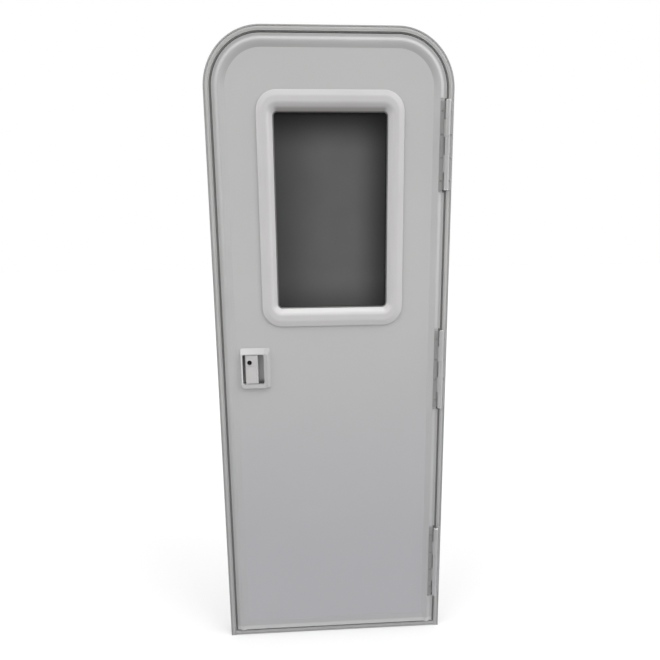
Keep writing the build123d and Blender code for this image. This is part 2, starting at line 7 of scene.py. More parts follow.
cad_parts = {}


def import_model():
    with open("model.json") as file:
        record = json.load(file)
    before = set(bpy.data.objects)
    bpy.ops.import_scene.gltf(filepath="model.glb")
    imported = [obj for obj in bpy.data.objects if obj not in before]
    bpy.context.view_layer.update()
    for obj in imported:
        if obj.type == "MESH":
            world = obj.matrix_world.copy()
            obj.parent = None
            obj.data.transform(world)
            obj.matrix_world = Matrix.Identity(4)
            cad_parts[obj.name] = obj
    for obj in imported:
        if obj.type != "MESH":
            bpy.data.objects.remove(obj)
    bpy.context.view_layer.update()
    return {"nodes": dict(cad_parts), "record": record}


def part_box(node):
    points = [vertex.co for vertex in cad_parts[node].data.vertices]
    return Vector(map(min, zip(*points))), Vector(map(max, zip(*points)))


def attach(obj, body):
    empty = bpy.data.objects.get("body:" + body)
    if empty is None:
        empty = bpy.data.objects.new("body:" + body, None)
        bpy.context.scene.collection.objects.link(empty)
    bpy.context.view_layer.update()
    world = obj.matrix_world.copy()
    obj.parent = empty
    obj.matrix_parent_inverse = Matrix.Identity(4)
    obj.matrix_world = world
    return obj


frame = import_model()
record = frame["record"]

# Places read from the frame, in metres
flange_low, flange_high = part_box("head_jamb")
FLANGE_HALF = flange_high.x
FLANGE_TOP = flange_high.z
FLANGE_CORNER = flange_high.z - flange_low.z
FLOOR_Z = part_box("left_jamb")[0].z
rail_low, rail_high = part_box("leaf_head_rail")
LEAF_HALF = rail_high.x
LEAF_TOP = rail_high.z
LEAF_CORNER = rail_high.z - rail_low.z
LEAF_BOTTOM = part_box("leaf_bottom_rail")[0].z
LEAF_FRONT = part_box("outer_skin")[0].y
pane_low, pane_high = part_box("window_glass")
GLASS_REBATE = 0.008
SIGHT_HALF = pane_high.x - GLASS_REBATE
SIGHT_LOW = pane_low.z + GLASS_REBATE
SIGHT_HIGH = pane_high.z - GLASS_REBATE
SIGHT_CORNER = 0.012
HINGES = ("lower", "middle", "upper")

# Recess of the lock, from the paddle and the gaps round it
paddle_low, paddle_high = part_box("lock_paddle")
PIVOT_GAP = 0.009
FINGER_GAP = 0.017
END_GAP = 0.005
RECESS_LEFT = paddle_low.x - PIVOT_GAP
RECESS_RIGHT = paddle_high.x + FINGER_GAP
RECESS_MIDDLE = (paddle_low.z + paddle_high.z) / 2
RECESS_HALF = (paddle_high.z - paddle_low.z) / 2 + END_GAP

# Heights between which the white turns greyer
GREY_BELOW = 0.15
WHITE_ABOVE = 1.15

# Colours, as linear red, green and blue
FRAME_WHITE = (0.43, 0.43, 0.425)
VINYL_WHITE = (0.46, 0.46, 0.455)
RAIL_WHITE = (0.45, 0.45, 0.45)
HINGE_WHITE = (0.42, 0.42, 0.42)
SKIN_HIGH = (0.485, 0.485, 0.484)
SKIN_LOW = (0.395, 0.391, 0.412)
TRIM_WHITE = (0.54, 0.53, 0.533)
# Painted highlight on the window ring's lower bevel
HIGHLIGHT_WHITE = (0.63, 0.625, 0.625)
SHADED_WHITE = (0.32, 0.305, 0.295)
LOCK_WHITE = (0.465, 0.46, 0.46)
# Painted highlight on the lock housing's borders
LOCK_HIGHLIGHT = (0.63, 0.625, 0.625)
PADDLE_GREY = (0.505, 0.495, 0.495)
KEY_DARK = (0.018, 0.018, 0.02)
RUBBER = (0.02, 0.02, 0.021)
SEAL_GREY = (0.17, 0.168, 0.16)
STEEL = (0.52, 0.52, 0.51)
INSIDE_BLACK = (0.03, 0.03, 0.031)
PANEL_CREAM = (0.62, 0.60, 0.565)
FOAM = (0.75, 0.75, 0.72)
# Darker grey for the flange's edge line, the painted shade on the rail and the hinge's hollow
DARK_GREY = (0.17, 0.168, 0.16)
# Painted shade in the lock's recess
RECESS_SHADE = (0.06, 0.058, 0.058)
# Grey that the paints turn towards near the bottom of the door
LOW_GREY = (0.30, 0.297, 0.315)
GLASS_MIDDLE = (0.107, 0.107, 0.109)
GLASS_EDGE = (0.002, 0.002, 0.002)


# Material helpers

class Finish:
    """A node material under construction, with short calls for the nodes that the finishes share."""

    def __init__(self, name, roughness, metallic=0.0):
        self.material = bpy.data.materials.new(name)
        self.material.use_nodes = True
        self.nodes = self.material.node_tree.nodes
        self.links = self.material.node_tree.links
        self.shader = self.nodes["Principled BSDF"]
        self.shader.inputs["Roughness"].default_value = roughness
        self.shader.inputs["Metallic"].default_value = metallic
        self.place = self.nodes.new("ShaderNodeTexCoord").outputs["Object"]

    def plug(self, value, socket):
        """Set a socket to a number or a colour, or link it to another socket."""
        if isinstance(value, bpy.types.NodeSocket):
            self.links.new(value, socket)
        else:
            socket.default_value = value

    def noise(self, scale, detail=3.0, stretch=(1.0, 1.0, 1.0)):
        mapping = self.nodes.new("ShaderNodeMapping")
        mapping.inputs["Scale"].default_value = stretch
        self.plug(self.place, mapping.inputs["Vector"])
        node = self.nodes.new("ShaderNodeTexNoise")
        node.inputs["Scale"].default_value = scale
        node.inputs["Detail"].default_value = detail
        self.plug(mapping.outputs["Vector"], node.inputs["Vector"])
        return node.outputs["Fac"]

    def span(self, value, low, high, to_low=0.0, to_high=1.0, smooth=False):
        """Map a value between two limits, and hold it there outside them."""
        node = self.nodes.new("ShaderNodeMapRange")
        node.interpolation_type = "SMOOTHSTEP" if smooth else "LINEAR"
        limits = {"From Min": low, "From Max": high, "To Min": to_low, "To Max": to_high}
        for name, number in limits.items():
            node.inputs[name].default_value = number
        self.plug(value, node.inputs["Value"])
        return node.outputs["Result"]

    def maths(self, operation, first, second=0.0):
        node = self.nodes.new("ShaderNodeMath")
        node.operation = operation
        self.plug(first, node.inputs[0])
        self.plug(second, node.inputs[1])
        return node.outputs[0]

    def product(self, first, *others):
        for value in others:
            first = self.maths("MULTIPLY", first, value)
        return first

    def axes(self):
        node = self.nodes.new("ShaderNodeSeparateXYZ")
        self.plug(self.place, node.inputs[0])
        return node.outputs["X"], node.outputs["Y"], node.outputs["Z"]

    def mix(self, share, first, second):
        node = self.nodes.new("ShaderNodeMix")
        node.data_type = "RGBA"
        self.plug(share, node.inputs["Factor"])
        for value, name in ((first, "A"), (second, "B")):
            socket = next(s for s in node.inputs if s.name == name and s.type == "RGBA")
            self.plug(value if isinstance(value, bpy.types.NodeSocket) else (*value, 1.0), socket)
        return next(s for s in node.outputs if s.type == "RGBA")

    def base(self):
        """The colour that is linked to the shader so far."""
        return self.shader.inputs["Base Color"].links[0].from_socket

    def colour(self, value):
        self.plug(value, self.shader.inputs["Base Color"])

    def roughen(self, value, low, high):
        self.plug(self.span(value, 0.25, 0.75, low, high), self.shader.inputs["Roughness"])

    def bump(self, height, depth):
        node = self.nodes.new("ShaderNodeBump")
        node.inputs["Distance"].default_value = depth
        node.inputs["Strength"].default_value = 1.0
        self.plug(height, node.inputs["Height"])
        self.plug(node.outputs["Normal"], self.shader.inputs["Normal"])

    def outline_distance(self, half, top, corner):
        """How far a point lies inside an outline with round top corners and an open bottom."""
        x, _, z = self.axes()
        side = self.maths("MAXIMUM", self.maths("SUBTRACT", self.maths("ABSOLUTE", x), half - corner))
        rise = self.maths("MAXIMUM", self.maths("SUBTRACT", z, top - corner))
        squares = self.maths("ADD", self.maths("POWER", side, 2.0), self.maths("POWER", rise, 2.0))
        return self.maths("SUBTRACT", corner, self.maths("SQRT", squares))


def shade(colour, factor):
    return tuple(channel * factor for channel in colour)


def painted(name, colour, roughness, vary=0.05, peel=0.00003, greying=0.0):
    """Paint or smooth plastic: faint patches, uneven gloss, a fine orange peel, and greyer low down."""
    finish = Finish(name, roughness)
    patches = finish.noise(5.0, 4.0)
    base = finish.mix(finish.span(patches, 0.3, 0.7), shade(colour, 1 - vary), shade(colour, 1 + vary))
    low_down = finish.span(finish.axes()[2], GREY_BELOW, WHITE_ABOVE, greying, 0.0, smooth=True)
    finish.colour(finish.mix(low_down, base, LOW_GREY))
    finish.roughen(finish.noise(40.0), roughness - 0.05, roughness + 0.07)
    finish.bump(finish.noise(420.0, 2.0), peel)
    return finish


# Finishes, one for each material slot of the record

def frame_paint():
    """Painted extrusion with a darker line along the outer edge of the flange."""
    finish = painted("frame_paint", FRAME_WHITE, 0.42, greying=0.5)
    clean = finish.base()
    edge = finish.outline_distance(FLANGE_HALF, FLANGE_TOP, FLANGE_CORNER)
    darkening = finish.span(edge, 0.0015, 0.0042, 0.8, 0.0, smooth=True)
    finish.colour(finish.mix(darkening, clean, DARK_GREY))
    return finish.material


def rail_paint():
    """Painted rail, with painted shade beside the gap and on the bead's inner slope along the top, and a
    painted highlight along its foot.
    """
    finish = painted("rail_paint", RAIL_WHITE, 0.38, greying=0.5)
    greyed = finish.base()
    _, depth, height = finish.axes()
    # Painted highlight: a lighter line along the foot of the leaf
    foot = finish.span(height, LEAF_BOTTOM + 0.011, LEAF_BOTTOM + 0.015, 0.8, 0.0, smooth=True)
    clean = finish.mix(foot, greyed, shade(RAIL_WHITE, 1.1))
    # Painted shade beside the gap, and on the downward facing inner slope of the bead along the top
    edge = finish.outline_distance(LEAF_HALF, LEAF_TOP, LEAF_CORNER)
    gap_shade = finish.span(edge, 0.002, 0.013, 0.3, 0.0, smooth=True)
    slope_shade = finish.span(edge, 0.020, 0.029, 0.0, 0.2, smooth=True)
    at_top = finish.span(height, LEAF_TOP - 0.16, LEAF_TOP - 0.06, smooth=True)
    outside = finish.span(depth, LEAF_FRONT + 0.0025, LEAF_FRONT + 0.004, 1.0, 0.0)
    darkening = finish.product(outside, finish.maths("MAXIMUM", gap_shade, finish.product(slope_shade, at_top)))
    finish.colour(finish.mix(darkening, clean, DARK_GREY))
    return finish.material


def skin_gelcoat():
    """Smooth fibreglass skin, a little greyer and cooler towards the bottom, with a faint waviness."""
    finish = Finish("skin_gelcoat", 0.36)
    height = finish.axes()[2]
    fade = finish.span(height, GREY_BELOW, WHITE_ABOVE, smooth=True)
    base = finish.mix(fade, SKIN_LOW, SKIN_HIGH)
    patches = finish.span(finish.noise(3.5, 5.0), 0.3, 0.7, 0.0, 0.05)
    finish.colour(finish.mix(patches, base, shade(SKIN_LOW, 0.6)))
    finish.roughen(finish.noise(30.0), 0.31, 0.42)
    waves = finish.noise(4.0, 1.0, (1.0, 1.0, 0.6))
    grain = finish.maths("MULTIPLY", finish.noise(380.0, 2.0), 0.03)
    finish.bump(finish.maths("ADD", waves, grain), 0.0008)
    return finish.material


def window_trim():
    """Moulded window frame, with a painted highlight on the bevel below the glass and painted shade on the
    bevel above it.
    """
    finish = painted("window_trim", TRIM_WHITE, 0.4, 0.03)
    clean = finish.base()
    x, y, z = finish.axes()
    # Painted highlight on the upward facing bevel below the glass
    below = finish.span(z, SIGHT_LOW + 0.001, SIGHT_LOW + 0.004, 1.0, 0.0)
    bevel = finish.span(z, SIGHT_LOW - 0.016, SIGHT_LOW - 0.009, smooth=True)
    off_middle = finish.maths("ABSOLUTE", x)
    between = finish.span(off_middle, SIGHT_HALF - 0.012, SIGHT_HALF, 1.0, 0.0, smooth=True)
    outside = finish.span(y, pane_low.y - 0.0005, pane_low.y, 1.0, 0.0)
    bevel_highlight = finish.product(below, bevel, between, outside)
    # Painted shade on the downward facing bevel above the glass
    above = finish.span(z, SIGHT_HIGH - 0.004, SIGHT_HIGH - 0.001)
    sheltered = finish.span(z, SIGHT_HIGH + 0.005, SIGHT_HIGH + 0.013, 1.0, 0.0, smooth=True)
    top_bevel_shade = finish.product(above, sheltered, between, outside)
    finish.colour(finish.mix(top_bevel_shade, finish.mix(bevel_highlight, clean, HIGHLIGHT_WHITE), SHADED_WHITE))
    return finish.material


def recess_shade(finish):
    """Share of painted shade in the slot beside the pivot and at both ends of the finger recess, growing
    with depth.
    """
    x, y, z = finish.axes()
    off_middle = finish.maths("ABSOLUTE", finish.maths("SUBTRACT", z, RECESS_MIDDLE))
    between = finish.span(off_middle, RECESS_HALF + 0.0002, RECESS_HALF + 0.001, 1.0, 0.0)
    # Painted shade, darker the deeper it lies, and darker towards the top of the slot
    deep = finish.span(y, paddle_low.y + 0.001, paddle_low.y + 0.007, 0.0, 0.9, smooth=True)
    beside = finish.span(x, paddle_low.x - 0.002, paddle_low.x + 0.004, 1.0, 0.0)
    inside = finish.span(x, RECESS_LEFT - 0.001, RECESS_LEFT - 0.0002)
    upward = finish.span(z, paddle_low.z, paddle_high.z, 0.15, 0.9)
    in_slot = finish.product(beside, inside, upward)
    past_edge = finish.span(x, paddle_high.x - 0.024, paddle_high.x, smooth=True)
    within = finish.span(x, RECESS_RIGHT - 0.0002, RECESS_RIGHT + 0.0006, 1.0, 0.0)
    foot = finish.span(z, paddle_low.z - 0.004, paddle_low.z + 0.010, 0.7, 0.0, smooth=True)
    head = finish.span(z, paddle_high.z - 0.05, paddle_high.z, 0.0, 0.15)
    in_recess = finish.product(past_edge, within, finish.maths("MAXIMUM", foot, head))
    return finish.product(deep, between, finish.maths("MAXIMUM", in_slot, in_recess))


def housing_paint(finish):
    """Colour of the housing, with a painted highlight beside the pivot and over the paddle, and painted
    shade on the finger side.
    """
    x, _, z = finish.axes()
    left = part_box("lock_bezel")[0].x
    top = RECESS_MIDDLE + RECESS_HALF
    off_middle = finish.maths("ABSOLUTE", finish.maths("SUBTRACT", z, RECESS_MIDDLE))
    # Painted highlight on the left border beside the pivot and on the top over the paddle
    on_border = finish.span(x, left + 0.0015, left + 0.003)
    border_end = finish.span(x, RECESS_LEFT, RECESS_LEFT + 0.002, 1.0, 0.0)
    beside_slot = finish.span(off_middle, RECESS_HALF - 0.004, RECESS_HALF + 0.002, 1.0, 0.0, smooth=True)
    pivot_side = finish.product(on_border, border_end, beside_slot)
    over = finish.span(z, top, top + 0.002, 0.0, 0.35)
    fading = finish.span(x, paddle_low.x, RECESS_RIGHT, 1.0, 0.0)
    border_highlight = finish.maths("MAXIMUM", pivot_side, finish.product(over, fading))
    # Painted shade on the border on the finger side
    finger_side = finish.span(x, RECESS_RIGHT, RECESS_RIGHT + 0.002)
    greyed = finish.mix(finger_side, finish.base(), shade(LOCK_WHITE, 0.92))
    return finish.mix(border_highlight, greyed, LOCK_HIGHLIGHT)


def lock_white():
    """Moulded housing with painted shade in its recess, and a painted highlight and painted shade on its
    borders.
    """
    finish = painted("lock_white", LOCK_WHITE, 0.36, 0.03)
    finish.colour(finish.mix(recess_shade(finish), housing_paint(finish), RECESS_SHADE))
    return finish.material


def hinge_paint():
    """Painted hinge, greyer where its plate lies in the hollow beside the knuckles."""
    finish = painted("hinge_paint", HINGE_WHITE, 0.4, greying=0.5)
    clean = finish.base()
    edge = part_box("middle_hinge_pin")[0].x
    hollow = finish.span(finish.axes()[0], edge - 0.002, edge, 0.45, 0.0, smooth=True)
    finish.colour(finish.mix(hollow, clean, DARK_GREY))
    return finish.material


def tinted_glass():
    """Dark safety glass whose tint is darker towards its edges, most of all along the top and the right."""
    finish = Finish("tinted_glass", 0.06)
    x, _, z = finish.axes()
    left = finish.span(x, -SIGHT_HALF - 0.03, -SIGHT_HALF + 0.15, 0.42, 1.0, smooth=True)
    right = finish.span(x, SIGHT_HALF - 0.10, SIGHT_HALF + 0.015, 1.0, 0.13, smooth=True)
    top = finish.span(z, SIGHT_HIGH - 0.11, SIGHT_HIGH + 0.01, 1.0, 0.04, smooth=True)
    bottom = finish.span(z, SIGHT_LOW - 0.02, SIGHT_LOW + 0.085, 0.5, 1.0, smooth=True)
    uneven = finish.span(finish.noise(9.0, 3.0), 0.3, 0.7, 0.92, 1.0)
    clear = finish.product(left, right, top, bottom, uneven)
    finish.colour(finish.mix(clear, GLASS_EDGE, GLASS_MIDDLE))
    finish.roughen(finish.noise(25.0), 0.03, 0.09)
    finish.shader.inputs["Transmission Weight"].default_value = 1.0
    finish.shader.inputs["IOR"].default_value = 1.45
    finish.shader.inputs["Specular Tint"].default_value = (0.3, 0.3, 0.3, 1.0)
    return finish.material


def seal_rubber():
    """Sponge rubber, greyer below the round top corners of the leaf than along its top."""
    finish = Finish("seal_rubber", 0.8)
    pores = finish.noise(900.0, 3.0)
    clean = finish.mix(finish.noise(60.0), shade(RUBBER, 0.7), shade(RUBBER, 1.5))
    greyed_share = finish.span(finish.axes()[2], LEAF_TOP - LEAF_CORNER, LEAF_TOP, 0.8, 0.0)
    finish.colour(finish.mix(greyed_share, clean, SEAL_GREY))
    finish.roughen(pores, 0.7, 0.9)
    finish.bump(pores, 0.0002)
    return finish.material


def steel(name, colour, roughness, stretch):
    """Plated steel with fine brush lines along one axis."""
    finish = Finish(name, roughness, metallic=1.0)
    lines = finish.noise(900.0, 3.0, stretch)
    finish.colour(finish.mix(lines, shade(colour, 0.85), shade(colour, 1.1)))
    finish.roughen(lines, roughness - 0.06, roughness + 0.1)
    finish.bump(lines, 0.00002)
    return finish.material


def grained_plastic(name, colour):
    """Moulded plastic with a fine spark-eroded grain."""
    finish = Finish(name, 0.5)
    grain = finish.noise(1300.0, 2.0)
    finish.colour(finish.mix(finish.noise(30.0), shade(colour, 0.85), shade(colour, 1.2)))
    finish.roughen(grain, 0.42, 0.6)
    finish.bump(grain, 0.00008)
    return finish.material


def inner_panel():
    """Vinyl faced board with a faint embossed leather grain."""
    finish = Finish("inner_panel", 0.5)
    grain = finish.nodes.new("ShaderNodeTexVoronoi")
    grain.feature = "SMOOTH_F1"
    grain.inputs["Scale"].default_value = 520.0
    finish.plug(finish.place, grain.inputs["Vector"])
    patches = finish.noise(3.0, 4.0)
    finish.colour(finish.mix(patches, shade(PANEL_CREAM, 0.95), shade(PANEL_CREAM, 1.04)))
    finish.roughen(finish.noise(35.0), 0.45, 0.58)
    finish.bump(grain.outputs["Distance"], 0.00012)
    return finish.material


def core_foam():
    finish = Finish("core_foam", 0.9)
    beads = finish.nodes.new("ShaderNodeTexVoronoi")
    beads.inputs["Scale"].default_value = 260.0
    finish.plug(finish.place, beads.inputs["Vector"])
    finish.colour(finish.mix(beads.outputs["Distance"], FOAM, shade(FOAM, 0.85)))
    finish.roughen(finish.noise(50.0), 0.85, 0.95)
    finish.bump(beads.outputs["Distance"], 0.0006)
    return finish.material


FINISHES = {
    "frame_paint": frame_paint(),
    "cover_vinyl": painted("cover_vinyl", VINYL_WHITE, 0.5, 0.06, greying=0.5).material,
    "rail_paint": rail_paint(),
    "hinge_paint": hinge_paint(),
    "pin_steel": steel("pin_steel", STEEL, 0.36, (1.0, 1.0, 0.05)),
    "seal_rubber": seal_rubber(),
    "skin_gelcoat": skin_gelcoat(),
    "core_foam": core_foam(),
    "inner_panel": inner_panel(),
    "window_trim": window_trim(),
    "tinted_glass": tinted_glass(),
    "lock_white": lock_white(),
    "paddle_grey": painted("paddle_grey", PADDLE_GREY, 0.35, 0.04).material,
    "key_dark": steel("key_dark", KEY_DARK, 0.4, (1.0, 1.0, 1.0)),
    "lock_steel": steel("lock_steel", STEEL, 0.36, (1.0, 0.05, 1.0)),
    "inside_plastic": grained_plastic("inside_plastic", INSIDE_BLACK),
}
for part in record["subparts"]:
    node = frame["nodes"][part["node"]]
    node.data.materials.clear()
    node.data.materials.append(FINISHES[part["material_slot"]])


# Mesh helpers

def add_piece(name, mesh, body, slot, smooth=None):
    """Put a mesh in the scene, finished by a material slot and riding on a body."""
    piece = bpy.data.objects.new(name, mesh)
    bpy.context.scene.collection.objects.link(piece)
    mesh.materials.append(FINISHES[slot])
    if smooth is not None:
        mesh.shade_smooth()
        mesh.set_sharp_from_angle(angle=smooth)
    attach(piece, body)
    return piece


def rounded_loop(x0, x1, z0, z1, radii, steps=12):
    """Points round a rectangle whose corners, from bottom left clockwise, have the given radii."""
    corners = [(x0, z0, 180), (x0, z1, 90), (x1, z1, 0), (x1, z0, -90)]
    points = []
    for (x, z, first), radius in zip(corners, radii):
        inward_x = radius if x == x0 else -radius
        inward_z = radius if z == z0 else -radius
        for i in range(steps + 1):
            angle = math.radians(first + 90 - 90 * i / steps)
            turn_x = radius * math.cos(angle)
            turn_z = radius * math.sin(angle)
            points.append((x + inward_x + turn_x, z + inward_z + turn_z))
    return points


def swept_ring(loops):
    """Closed mesh between loops of points, each joined to the next and the last to the first."""
    made = bmesh.new()
    rings = [[made.verts.new(point) for point in loop] for loop in loops]
    for ring, following in zip(rings, rings[1:] + rings[:1]):
        for i in range(len(ring)):
            j = (i + 1) % len(ring)
            made.faces.new((ring[i], ring[j], following[j], following[i]))
    bmesh.ops.remove_doubles(made, verts=made.verts, dist=1e-6)
    bmesh.ops.recalc_face_normals(made, faces=made.faces)
    mesh = bpy.data.meshes.new("ring")
    made.to_mesh(mesh)
    made.free()
    return mesh


def bar(*outlines):
    """Closed mesh through like outlines, with a face at each end."""
    made = bmesh.new()
    rings = [[made.verts.new(point) for point in outline] for outline in outlines]
    for ring, following in zip(rings, rings[1:]):
        for i in range(len(ring)):
            j = (i + 1) % len(ring)
            made.faces.new((ring[i], ring[j], following[j], following[i]))
    made.faces.new(rings[0])
    made.faces.new(rings[-1])
    bmesh.ops.recalc_face_normals(made, faces=made.faces)
    mesh = bpy.data.meshes.new("bar")
    made.to_mesh(mesh)
    made.free()
    return mesh


def leaf_loop(inset, y):
    """Outline of the leaf, drawn in by inset, at one depth."""
    radius = LEAF_CORNER - inset
    half = LEAF_HALF - inset
    square = 1e-5
    radii = (square, radius, radius, square)
    points = rounded_loop(-half, half, LEAF_BOTTOM + inset, LEAF_TOP - inset, radii, 24)
    return [(x, y, z) for x, z in points]


def sight_loop(inset, y):
    """Outline of the glass that shows, drawn in by inset, at one depth."""
    radius = SIGHT_CORNER - inset
    half = SIGHT_HALF - inset
    points = rounded_loop(-half, half, SIGHT_LOW + inset, SIGHT_HIGH - inset, (radius,) * 4, 8)
    return [(x, y, z) for x, z in points]


# Seal under the lip of the leaf, which closes the gap to the flange; its black also stands in for shade in
# the gap
def lip_seal():
    outer = -0.004
    inner = 0.008
    front = LEAF_FRONT + 0.0035
    back = -0.0024
    crown = (front + back) / 2
    shoulder = outer + 0.002
    section = [(inner, front), (shoulder, front), (outer, crown), (shoulder, back), (inner, back)]
    mesh = swept_ring([leaf_loop(inset, y) for inset, y in section])
    add_piece("lip_seal", mesh, "leaf", "seal_rubber", math.radians(50))


# Rubber lip between the glass and the outer ring of the window
def glass_lip():
    face = pane_low.y
    outer = -0.0008
    foot = face - 0.0002
    section = [(outer, foot), (outer, face - 0.0016), (0.0012, face - 0.0014), (0.0022, foot)]
    mesh = swept_ring([sight_loop(inset, y) for inset, y in section])
    add_piece("glass_lip", mesh, "leaf", "seal_rubber", math.radians(50))


# Flap of sealing tape under a hinge's door strip, which covers the slot beside the barrel
def hinge_tapes():
    root = -0.0091
    reach = -0.0043
    nose = 0.0005
    front = LEAF_FRONT + 0.0003
    back = LEAF_FRONT + 0.0013
    tip = (reach, (front + back) / 2)
    section = [(root, front), (reach - nose, front), tip, (reach - nose, back), (root, back)]
    for name in HINGES:
        pin_low, pin_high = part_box(name + "_hinge_pin")
        axis_x = (pin_low.x + pin_high.x) / 2
        strip_low, strip_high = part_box(name + "_hinge_door_leaf")
        ends = (strip_low.z + 0.001, strip_high.z - 0.001)
        mesh = bar(*[[(axis_x + x, y, z) for x, y in section] for z in ends])
        add_piece(name + "_hinge_tape", mesh, "leaf", "cover_vinyl", math.radians(50))


# Screws with a cross recess
def screw_mesh(made, radius, dome, turn, matrix):
    """Add one screw head to a mesh under construction. Its back is at the origin and it faces +Z."""
    sides = 24
    arm = 0.62 * radius
    web = 0.15 * radius
    depth = 0.5 * radius
    levels = [(radius, 0.0), (radius, 0.35 * dome), (0.8 * radius, 0.85 * dome), (0.72 * radius, dome)]
    rings = []
    for ring_radius, z in levels:
        ring = []
        for i in range(sides):
            angle = 2 * math.pi * i / sides
            x = ring_radius * math.cos(angle)
            y = ring_radius * math.sin(angle)
            ring.append(made.verts.new((x, y, z)))
        rings.append(ring)
    for low, high in zip(rings, rings[1:]):
        for i in range(sides):
            j = (i + 1) % sides
            made.faces.new((low[i], low[j], high[j], high[i]))
    made.faces.new(list(reversed(rings[0])))
    cross = []
    for quarter in range(4):
        spin = Matrix.Rotation(quarter * math.pi / 2, 3, "Z")
        for x, y in ((arm, -web), (arm, web), (web, web)):
            cross.append(spin @ Vector((x, y, dome)))
    mouth = [made.verts.new(point) for point in cross]
    floor = [made.verts.new((0.7 * p.x, 0.7 * p.y, dome - depth)) for p in cross]
    edges = []
    for loop in (rings[-1], mouth):
        for i in range(len(loop)):
            pair = (loop[i], loop[(i + 1) % len(loop)])
            edges.append(made.edges.get(pair) or made.edges.new(pair))
    bmesh.ops.triangle_fill(made, use_beauty=True, edges=edges)
    inside = [f for f in made.faces if all(v in mouth for v in f.verts)]
    bmesh.ops.delete(made, geom=inside, context="FACES_ONLY")
    for i in range(len(mouth)):
        j = (i + 1) % len(mouth)
        made.faces.new((mouth[i], mouth[j], floor[j], floor[i]))
    made.faces.new(floor)
    used = [v for ring in rings for v in ring] + mouth + floor
    bmesh.ops.transform(made, matrix=matrix @ Matrix.Rotation(turn, 4, "Z"), verts=used)


def screws(name, places, facing, radius, dome, body, slot):
    """One piece with a screw head at each place, facing along the given direction."""
    made = bmesh.new()
    aim = Vector((0, 0, 1)).rotation_difference(Vector(facing)).to_matrix().to_4x4()
    for i, place in enumerate(places):
        screw_mesh(made, radius, dome, 0.9 * i, Matrix.Translation(place) @ aim)
    bmesh.ops.recalc_face_normals(made, faces=made.faces)
    mesh = bpy.data.meshes.new(name)
    made.to_mesh(mesh)
    made.free()
    add_piece(name, mesh, body, slot, math.radians(35))


def evenly(low, high, count, margin):
    step = (high - low - 2 * margin) / (count - 1)
    return [low + margin + step * i for i in range(count)]


def hinge_screws():
    sheet = 0.002
    dome = 0.0009
    plate_screw = 0.0036
    strip_screw = 0.0033
    plate_inset = 0.005
    strip_inset = 0.0058
    end_margin = 0.025
    for name in HINGES:
        plate_low, plate_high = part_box(name + "_hinge_frame_leaf")
        strip_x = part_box(name + "_hinge_door_leaf")[0].x + strip_inset
        strip_y = LEAF_FRONT - sheet
        plate_x = plate_high.x - plate_inset
        plate_y = plate_high.y - sheet
        heights = evenly(plate_low.z, plate_high.z, 4, end_margin)
        screws(name + "_hinge_frame_screws", [(plate_x, plate_y, z) for z in heights],
               (0, -1, 0), plate_screw, dome, "frame", "hinge_paint")
        screws(name + "_hinge_door_screws", [(strip_x, strip_y, z) for z in heights],
               (0, -1, 0), strip_screw, dome, "leaf", "hinge_paint")


def window_screws():
    ring_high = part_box("window_inner_ring")[1]
    middle = (ring_high.x - SIGHT_HALF) / 2
    end_margin = 0.03
    radius = 0.0036
    dome = 0.0012
    across = evenly(-SIGHT_HALF, SIGHT_HALF, 3, end_margin)
    up = evenly(SIGHT_LOW, SIGHT_HIGH, 5, end_margin)
    places = [(x, ring_high.y, z) for x in across for z in (SIGHT_LOW - middle, SIGHT_HIGH + middle)]
    places += [(x, ring_high.y, z) for z in up for x in (-SIGHT_HALF - middle, SIGHT_HALF + middle)]
    screws("window_ring_screws", places, (0, 1, 0), radius, dome, "leaf", "window_trim")


def lock_screws():
    low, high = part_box("inside_lock_plate")
    inset = 0.010
    radius = 0.0036
    dome = 0.0012
    across = (low.x + inset, high.x - inset)
    up = (low.z + inset, high.z - inset)
    corners = [(x, high.y, z) for x in across for z in up]
    screws("inside_plate_screws", corners, (0, 1, 0), radius, dome, "leaf", "lock_steel")
    flat_radius = 0.0038
    flat_dome = 0.0006
    low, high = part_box("edge_plate")
    margin = 0.008
    middle = (low.y + high.y) / 2
    screws("edge_plate_screws", [(low.x, middle, z) for z in (low.z + margin, high.z - margin)],
           (-1, 0, 0), flat_radius, flat_dome, "leaf", "lock_steel")
    low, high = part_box("strike_plate")
    margin = 0.007
    middle = (low.y + high.y) / 2
    screws("strike_plate_screws", [(high.x, middle, z) for z in (low.z + margin, high.z - margin)],
           (1, 0, 0), flat_radius, flat_dome, "frame", "lock_steel")


# Collar round the key plug
def key_collar():
    low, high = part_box("key_plug")
    paddle_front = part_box("lock_paddle")[0].y
    middle_x = (low.x + high.x) / 2
    middle_z = (low.z + high.z) / 2
    inner = 0.0067
    outer = 0.0086
    sides = 48

    def loop(radius, y):
        angles = [2 * math.pi * i / sides for i in range(sides)]
        return [(middle_x + radius * math.cos(a), y, middle_z + radius * math.sin(a)) for a in angles]

    back = paddle_front + 0.0002
    crest = paddle_front - 0.0008
    section = [(outer, back), (outer, paddle_front - 0.0003), (outer - 0.0005, crest),
               (inner + 0.0003, crest), (inner, paddle_front - 0.0004), (inner, back)]
    mesh = swept_ring([loop(radius, y) for radius, y in section])
    add_piece("key_collar", mesh, "paddle", "paddle_grey", math.radians(40))


